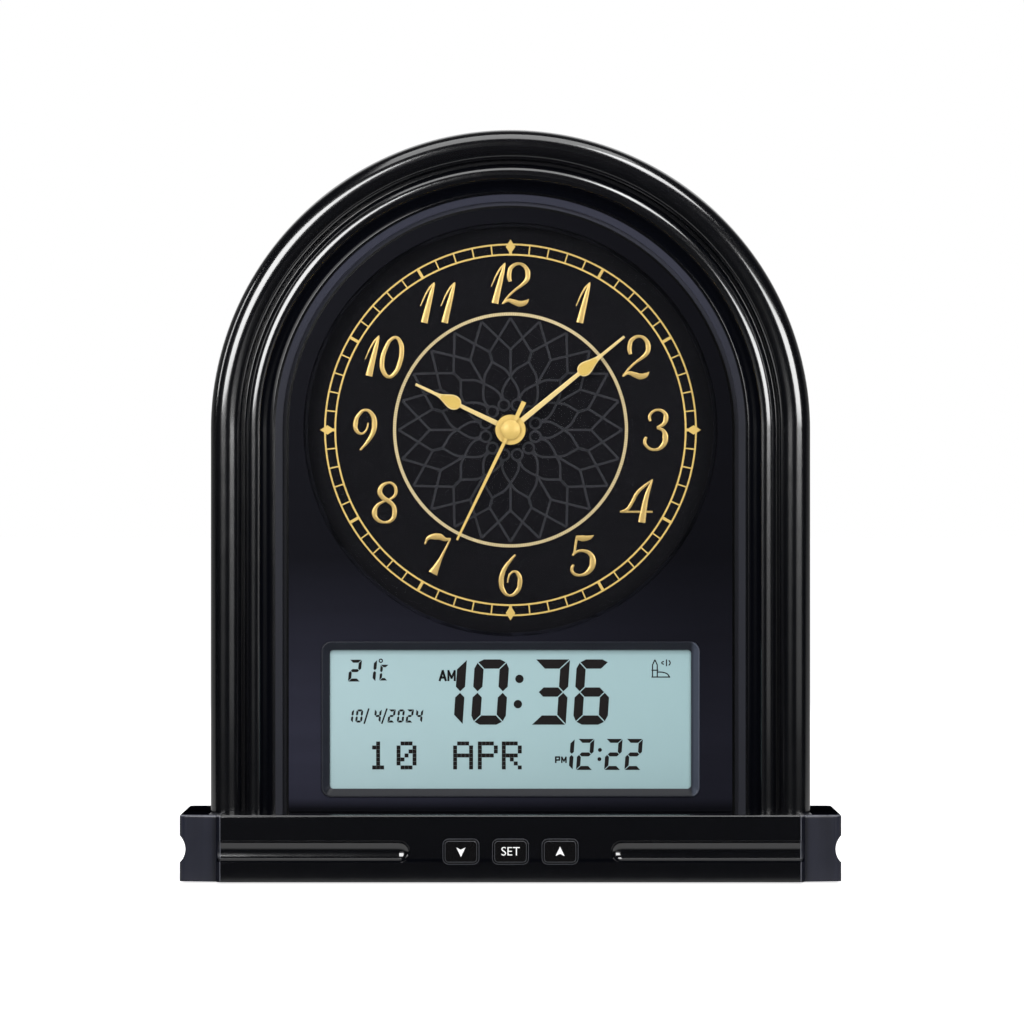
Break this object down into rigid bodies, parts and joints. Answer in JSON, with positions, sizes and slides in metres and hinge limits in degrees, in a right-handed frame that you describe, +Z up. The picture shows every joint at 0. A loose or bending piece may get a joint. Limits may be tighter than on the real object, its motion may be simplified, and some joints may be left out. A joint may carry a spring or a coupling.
{
  "type": "azan clock",
  "caption": "Arched tabletop azan clock: round dial with gold hands over a liquid crystal display, speaker and battery bay behind, on a plinth with push buttons.",
  "frame": {"origin": "middle of the clock's width and depth, on the surface it stands on", "axes": "+Z up; the dial and display face -Y; +X is to the viewer's right from the front"},
  "size_m": [0.25, 0.076, 0.2852],
  "materials": {
    "gloss_black": "high gloss, injection moulded",
    "satin_black": "satin, fine moulded texture",
    "button_black": "gloss with printed white marks",
    "gold_metal": "stamped, pale gold lacquer",
    "clear_lens": "clear and polished",
    "display_glass": "pale blue-green reflective display behind clear glass",
    "foot_rubber": "matte",
    "zebra_rubber": "matte, striped",
    "zinc_steel": "zinc plated",
    "turned_brass": "turned",
    "board_green": "solder mask",
    "chip_black": "moulded",
    "light_white": "diffuse",
    "movement_black": "fine moulded texture",
    "wheel_white": "moulded acetal",
    "rotor_magnet": "sintered",
    "copper_wire": "enamelled copper wire",
    "cell_jacket": "printed jacket, plain",
    "cone_paper": "pressed paper",
    "lead_red": "insulated wire",
    "ribbon_grey": "ribbon cable"
  },
  "bodies": {
    "case": {"base_plinth": "gloss_black", "arch_case": "gloss_black", "front_panel": "satin_black", "dial_plate": "satin_black", "rear_cover": "satin_black", "base_bottom_plate": "satin_black", "lcd_bezel": "satin_black", "chapter_ring": "gold_metal", "minute_track": "gold_metal", "dial_lens": "clear_lens", "lcd_glass": "display_glass", "rubber_feet": "foot_rubber", "rubber_washer": "foot_rubber", "zebra_strips": "zebra_rubber", "base_screws": "zinc_steel", "case_screws": "zinc_steel", "button_board_screws": "zinc_steel", "pcb_screws": "zinc_steel", "speaker_screws": "zinc_steel", "rear_screws": "zinc_steel", "stator": "zinc_steel", "movement_contacts": "zinc_steel", "battery_contacts": "zinc_steel", "speaker_frame": "zinc_steel", "quartz_crystal": "zinc_steel", "fixing_nut": "turned_brass", "main_pcb": "board_green", "button_board": "board_green", "movement_pcb": "board_green", "pcb_chips": "chip_black", "tact_switches": "chip_black", "lcd_backlight": "light_white", "movement_case": "movement_black", "movement_cover": "movement_black", "coil_bobbin": "wheel_white", "speaker_magnet": "rotor_magnet", "coil_winding": "copper_wire", "movement_battery": "cell_jacket", "bay_batteries": "cell_jacket", "speaker_cone": "cone_paper", "speaker_leads": "lead_red", "battery_leads": "lead_red", "button_ribbon": "ribbon_grey"},
    "hours": {"hour_hand": "gold_metal", "hour_wheel": "wheel_white"},
    "minutes": {"minute_hand": "gold_metal", "centre_wheel": "wheel_white"},
    "seconds": {"second_hand": "gold_metal", "seconds_wheel": "wheel_white"},
    "third": {"third_wheel": "wheel_white"},
    "intermediate": {"intermediate_wheel": "wheel_white"},
    "rotor_body": {"rotor": "rotor_magnet"},
    "motion": {"minute_wheel": "wheel_white"},
    "setting": {"set_knob": "movement_black"},
    "button_down": {"down_button": "button_black"},
    "button_set": {"set_button": "button_black"},
    "button_up": {"up_button": "button_black"},
    "door": {"battery_door": "satin_black"}
  },
  "joints": [
    {"name": "minute_spin", "type": "hinge", "parent": "case", "child": "minutes", "pos_m": [0, 0, 0.1715], "axis": [0, 1, 0], "continuous": true},
    {"name": "hour_spin", "type": "hinge", "parent": "case", "child": "hours", "pos_m": [0, 0, 0.1715], "axis": [0, 1, 0], "continuous": true},
    {"name": "second_spin", "type": "hinge", "parent": "case", "child": "seconds", "pos_m": [0, 0, 0.1715], "axis": [0, 1, 0], "continuous": true},
    {"name": "third_spin", "type": "hinge", "parent": "case", "child": "third", "pos_m": [-0.0128, 0, 0.17376], "axis": [0, 1, 0], "continuous": true},
    {"name": "intermediate_spin", "type": "hinge", "parent": "case", "child": "intermediate", "pos_m": [0.01083, 0, 0.17775], "axis": [0, 1, 0], "continuous": true},
    {"name": "rotor_spin", "type": "hinge", "parent": "case", "child": "rotor_body", "pos_m": [0.01633, 0, 0.18728], "axis": [0, 1, 0], "continuous": true},
    {"name": "motion_spin", "type": "hinge", "parent": "case", "child": "motion", "pos_m": [0, 0, 0.182], "axis": [0, 1, 0], "continuous": true},
    {"name": "set_knob_spin", "type": "hinge", "parent": "case", "child": "setting", "pos_m": [-0.00525, 0, 0.19109], "axis": [0, 1, 0], "continuous": true},
    {"name": "down_press", "type": "slide", "parent": "case", "child": "button_down", "axis": [0, 1, 0], "range_m": [0, 0.0008], "stiffness_N_per_m": 400},
    {"name": "set_press", "type": "slide", "parent": "case", "child": "button_set", "axis": [0, 1, 0], "range_m": [0, 0.0008], "stiffness_N_per_m": 400},
    {"name": "up_press", "type": "slide", "parent": "case", "child": "button_up", "axis": [0, 1, 0], "range_m": [0, 0.0008], "stiffness_N_per_m": 400},
    {"name": "door_hinge", "type": "hinge", "parent": "case", "child": "door", "pos_m": [0.052, 0.02665, 0.0538], "axis": [-1, 0, 0], "range_deg": [0, 90]}
  ],
  "couplings": [
    {"joint": "hour_spin", "follows": "minute_spin", "ratio": 0.083333},
    {"joint": "second_spin", "follows": "minute_spin", "ratio": 60},
    {"joint": "third_spin", "follows": "minute_spin", "ratio": -8},
    {"joint": "intermediate_spin", "follows": "minute_spin", "ratio": -180},
    {"joint": "rotor_spin", "follows": "minute_spin", "ratio": 1800},
    {"joint": "motion_spin", "follows": "minute_spin", "ratio": -0.33333},
    {"joint": "set_knob_spin", "follows": "minute_spin", "ratio": 1}
  ]
}
